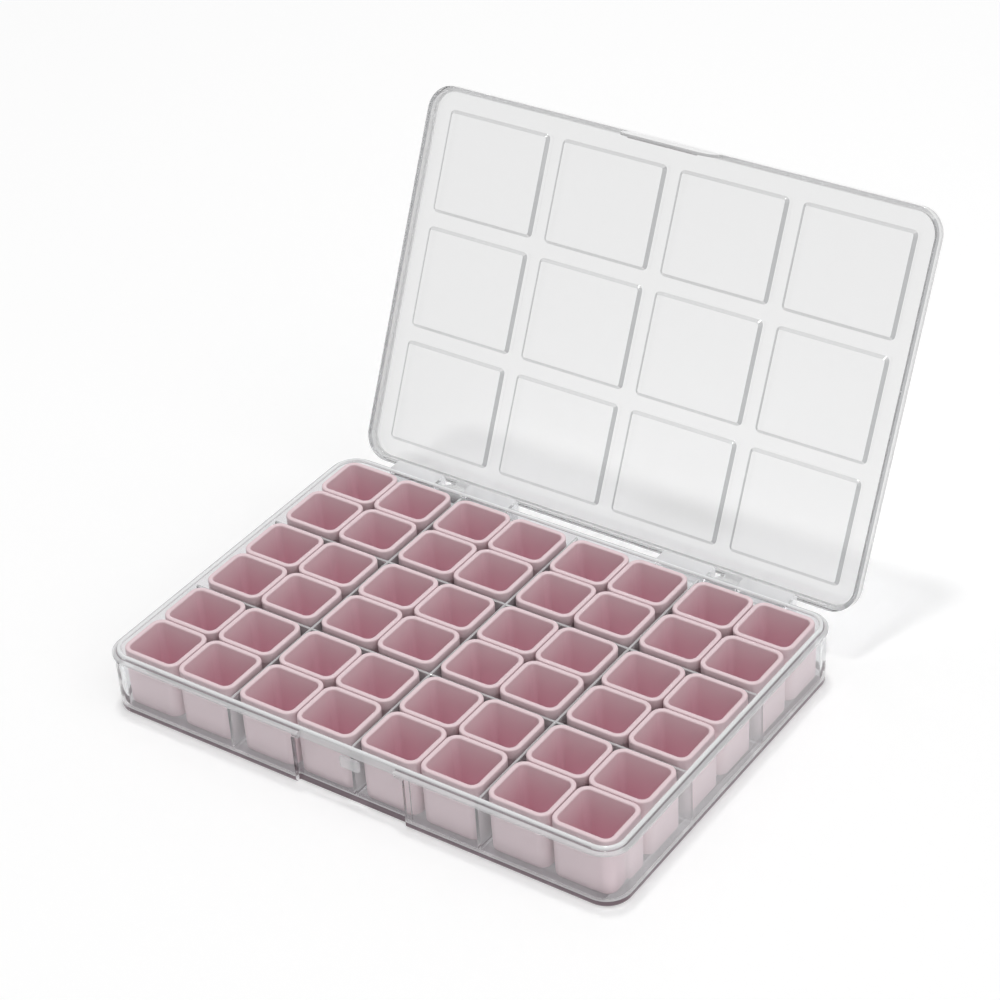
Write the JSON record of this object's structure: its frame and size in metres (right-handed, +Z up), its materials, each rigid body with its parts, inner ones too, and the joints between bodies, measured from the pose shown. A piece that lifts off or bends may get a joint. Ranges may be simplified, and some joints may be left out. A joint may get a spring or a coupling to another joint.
{
  "type": "compartment storage box",
  "caption": "Flat clear case with a hinged lid that holds a grid of loose pink cups for beads and small parts, with dividers, a front tab with a catch, and clip hinges.",
  "frame": {"origin": "middle of the tray's flat underside", "axes": "+X to the right along the front, +Y from the front to the hinges at the back, +Z up; the lid is stored open on its stop"},
  "size_m": [0.2086, 0.2165, 0.151],
  "materials": {
    "clear_plastic": "clear polished polystyrene",
    "pink_plastic": "satin dusty pink polypropylene"
  },
  "bodies": {
    "tray": {"tray": "clear_plastic"},
    "lid": {"lid": "clear_plastic"},
    "cup_a1": {"cup_a1": "pink_plastic"},
    "cup_a2": {"cup_a2": "pink_plastic"},
    "cup_a3": {"cup_a3": "pink_plastic"},
    "cup_a4": {"cup_a4": "pink_plastic"},
    "cup_a5": {"cup_a5": "pink_plastic"},
    "cup_a6": {"cup_a6": "pink_plastic"},
    "cup_a7": {"cup_a7": "pink_plastic"},
    "cup_a8": {"cup_a8": "pink_plastic"},
    "cup_b1": {"cup_b1": "pink_plastic"},
    "cup_b2": {"cup_b2": "pink_plastic"},
    "cup_b3": {"cup_b3": "pink_plastic"},
    "cup_b4": {"cup_b4": "pink_plastic"},
    "cup_b5": {"cup_b5": "pink_plastic"},
    "cup_b6": {"cup_b6": "pink_plastic"},
    "cup_b7": {"cup_b7": "pink_plastic"},
    "cup_b8": {"cup_b8": "pink_plastic"},
    "cup_c1": {"cup_c1": "pink_plastic"},
    "cup_c2": {"cup_c2": "pink_plastic"},
    "cup_c3": {"cup_c3": "pink_plastic"},
    "cup_c4": {"cup_c4": "pink_plastic"},
    "cup_c5": {"cup_c5": "pink_plastic"},
    "cup_c6": {"cup_c6": "pink_plastic"},
    "cup_c7": {"cup_c7": "pink_plastic"},
    "cup_c8": {"cup_c8": "pink_plastic"},
    "cup_d1": {"cup_d1": "pink_plastic"},
    "cup_d2": {"cup_d2": "pink_plastic"},
    "cup_d3": {"cup_d3": "pink_plastic"},
    "cup_d4": {"cup_d4": "pink_plastic"},
    "cup_d5": {"cup_d5": "pink_plastic"},
    "cup_d6": {"cup_d6": "pink_plastic"},
    "cup_d7": {"cup_d7": "pink_plastic"},
    "cup_d8": {"cup_d8": "pink_plastic"},
    "cup_e1": {"cup_e1": "pink_plastic"},
    "cup_e2": {"cup_e2": "pink_plastic"},
    "cup_e3": {"cup_e3": "pink_plastic"},
    "cup_e4": {"cup_e4": "pink_plastic"},
    "cup_e5": {"cup_e5": "pink_plastic"},
    "cup_e6": {"cup_e6": "pink_plastic"},
    "cup_e7": {"cup_e7": "pink_plastic"},
    "cup_e8": {"cup_e8": "pink_plastic"},
    "cup_f1": {"cup_f1": "pink_plastic"},
    "cup_f2": {"cup_f2": "pink_plastic"},
    "cup_f3": {"cup_f3": "pink_plastic"},
    "cup_f4": {"cup_f4": "pink_plastic"},
    "cup_f5": {"cup_f5": "pink_plastic"},
    "cup_f6": {"cup_f6": "pink_plastic"},
    "cup_f7": {"cup_f7": "pink_plastic"},
    "cup_f8": {"cup_f8": "pink_plastic"}
  },
  "joints": [
    {"name": "lid_hinge", "type": "hinge", "parent": "tray", "child": "lid", "pos_m": [0, 0.07426, 0.017], "axis": [-1, 0, 0], "range_deg": [-115, 0]},
    {"name": "cup_a1_lift", "type": "slide", "parent": "tray", "child": "cup_a1", "axis": [0, 0, 1], "range_m": [0, 0.026]},
    {"name": "cup_a2_lift", "type": "slide", "parent": "tray", "child": "cup_a2", "axis": [0, 0, 1], "range_m": [0, 0.026]},
    {"name": "cup_a3_lift", "type": "slide", "parent": "tray", "child": "cup_a3", "axis": [0, 0, 1], "range_m": [0, 0.026]},
    {"name": "cup_a4_lift", "type": "slide", "parent": "tray", "child": "cup_a4", "axis": [0, 0, 1], "range_m": [0, 0.026]},
    {"name": "cup_a5_lift", "type": "slide", "parent": "tray", "child": "cup_a5", "axis": [0, 0, 1], "range_m": [0, 0.026]},
    {"name": "cup_a6_lift", "type": "slide", "parent": "tray", "child": "cup_a6", "axis": [0, 0, 1], "range_m": [0, 0.026]},
    {"name": "cup_a7_lift", "type": "slide", "parent": "tray", "child": "cup_a7", "axis": [0, 0, 1], "range_m": [0, 0.026]},
    {"name": "cup_a8_lift", "type": "slide", "parent": "tray", "child": "cup_a8", "axis": [0, 0, 1], "range_m": [0, 0.026]},
    {"name": "cup_b1_lift", "type": "slide", "parent": "tray", "child": "cup_b1", "axis": [0, 0, 1], "range_m": [0, 0.026]},
    {"name": "cup_b2_lift", "type": "slide", "parent": "tray", "child": "cup_b2", "axis": [0, 0, 1], "range_m": [0, 0.026]},
    {"name": "cup_b3_lift", "type": "slide", "parent": "tray", "child": "cup_b3", "axis": [0, 0, 1], "range_m": [0, 0.026]},
    {"name": "cup_b4_lift", "type": "slide", "parent": "tray", "child": "cup_b4", "axis": [0, 0, 1], "range_m": [0, 0.026]},
    {"name": "cup_b5_lift", "type": "slide", "parent": "tray", "child": "cup_b5", "axis": [0, 0, 1], "range_m": [0, 0.026]},
    {"name": "cup_b6_lift", "type": "slide", "parent": "tray", "child": "cup_b6", "axis": [0, 0, 1], "range_m": [0, 0.026]},
    {"name": "cup_b7_lift", "type": "slide", "parent": "tray", "child": "cup_b7", "axis": [0, 0, 1], "range_m": [0, 0.026]},
    {"name": "cup_b8_lift", "type": "slide", "parent": "tray", "child": "cup_b8", "axis": [0, 0, 1], "range_m": [0, 0.026]},
    {"name": "cup_c1_lift", "type": "slide", "parent": "tray", "child": "cup_c1", "axis": [0, 0, 1], "range_m": [0, 0.026]},
    {"name": "cup_c2_lift", "type": "slide", "parent": "tray", "child": "cup_c2", "axis": [0, 0, 1], "range_m": [0, 0.026]},
    {"name": "cup_c3_lift", "type": "slide", "parent": "tray", "child": "cup_c3", "axis": [0, 0, 1], "range_m": [0, 0.026]},
    {"name": "cup_c4_lift", "type": "slide", "parent": "tray", "child": "cup_c4", "axis": [0, 0, 1], "range_m": [0, 0.026]},
    {"name": "cup_c5_lift", "type": "slide", "parent": "tray", "child": "cup_c5", "axis": [0, 0, 1], "range_m": [0, 0.026]},
    {"name": "cup_c6_lift", "type": "slide", "parent": "tray", "child": "cup_c6", "axis": [0, 0, 1], "range_m": [0, 0.026]},
    {"name": "cup_c7_lift", "type": "slide", "parent": "tray", "child": "cup_c7", "axis": [0, 0, 1], "range_m": [0, 0.026]},
    {"name": "cup_c8_lift", "type": "slide", "parent": "tray", "child": "cup_c8", "axis": [0, 0, 1], "range_m": [0, 0.026]},
    {"name": "cup_d1_lift", "type": "slide", "parent": "tray", "child": "cup_d1", "axis": [0, 0, 1], "range_m": [0, 0.026]},
    {"name": "cup_d2_lift", "type": "slide", "parent": "tray", "child": "cup_d2", "axis": [0, 0, 1], "range_m": [0, 0.026]},
    {"name": "cup_d3_lift", "type": "slide", "parent": "tray", "child": "cup_d3", "axis": [0, 0, 1], "range_m": [0, 0.026]},
    {"name": "cup_d4_lift", "type": "slide", "parent": "tray", "child": "cup_d4", "axis": [0, 0, 1], "range_m": [0, 0.026]},
    {"name": "cup_d5_lift", "type": "slide", "parent": "tray", "child": "cup_d5", "axis": [0, 0, 1], "range_m": [0, 0.026]},
    {"name": "cup_d6_lift", "type": "slide", "parent": "tray", "child": "cup_d6", "axis": [0, 0, 1], "range_m": [0, 0.026]},
    {"name": "cup_d7_lift", "type": "slide", "parent": "tray", "child": "cup_d7", "axis": [0, 0, 1], "range_m": [0, 0.026]},
    {"name": "cup_d8_lift", "type": "slide", "parent": "tray", "child": "cup_d8", "axis": [0, 0, 1], "range_m": [0, 0.026]},
    {"name": "cup_e1_lift", "type": "slide", "parent": "tray", "child": "cup_e1", "axis": [0, 0, 1], "range_m": [0, 0.026]},
    {"name": "cup_e2_lift", "type": "slide", "parent": "tray", "child": "cup_e2", "axis": [0, 0, 1], "range_m": [0, 0.026]},
    {"name": "cup_e3_lift", "type": "slide", "parent": "tray", "child": "cup_e3", "axis": [0, 0, 1], "range_m": [0, 0.026]},
    {"name": "cup_e4_lift", "type": "slide", "parent": "tray", "child": "cup_e4", "axis": [0, 0, 1], "range_m": [0, 0.026]},
    {"name": "cup_e5_lift", "type": "slide", "parent": "tray", "child": "cup_e5", "axis": [0, 0, 1], "range_m": [0, 0.026]},
    {"name": "cup_e6_lift", "type": "slide", "parent": "tray", "child": "cup_e6", "axis": [0, 0, 1], "range_m": [0, 0.026]},
    {"name": "cup_e7_lift", "type": "slide", "parent": "tray", "child": "cup_e7", "axis": [0, 0, 1], "range_m": [0, 0.026]},
    {"name": "cup_e8_lift", "type": "slide", "parent": "tray", "child": "cup_e8", "axis": [0, 0, 1], "range_m": [0, 0.026]},
    {"name": "cup_f1_lift", "type": "slide", "parent": "tray", "child": "cup_f1", "axis": [0, 0, 1], "range_m": [0, 0.026]},
    {"name": "cup_f2_lift", "type": "slide", "parent": "tray", "child": "cup_f2", "axis": [0, 0, 1], "range_m": [0, 0.026]},
    {"name": "cup_f3_lift", "type": "slide", "parent": "tray", "child": "cup_f3", "axis": [0, 0, 1], "range_m": [0, 0.026]},
    {"name": "cup_f4_lift", "type": "slide", "parent": "tray", "child": "cup_f4", "axis": [0, 0, 1], "range_m": [0, 0.026]},
    {"name": "cup_f5_lift", "type": "slide", "parent": "tray", "child": "cup_f5", "axis": [0, 0, 1], "range_m": [0, 0.026]},
    {"name": "cup_f6_lift", "type": "slide", "parent": "tray", "child": "cup_f6", "axis": [0, 0, 1], "range_m": [0, 0.026]},
    {"name": "cup_f7_lift", "type": "slide", "parent": "tray", "child": "cup_f7", "axis": [0, 0, 1], "range_m": [0, 0.026]},
    {"name": "cup_f8_lift", "type": "slide", "parent": "tray", "child": "cup_f8", "axis": [0, 0, 1], "range_m": [0, 0.026]}
  ]
}
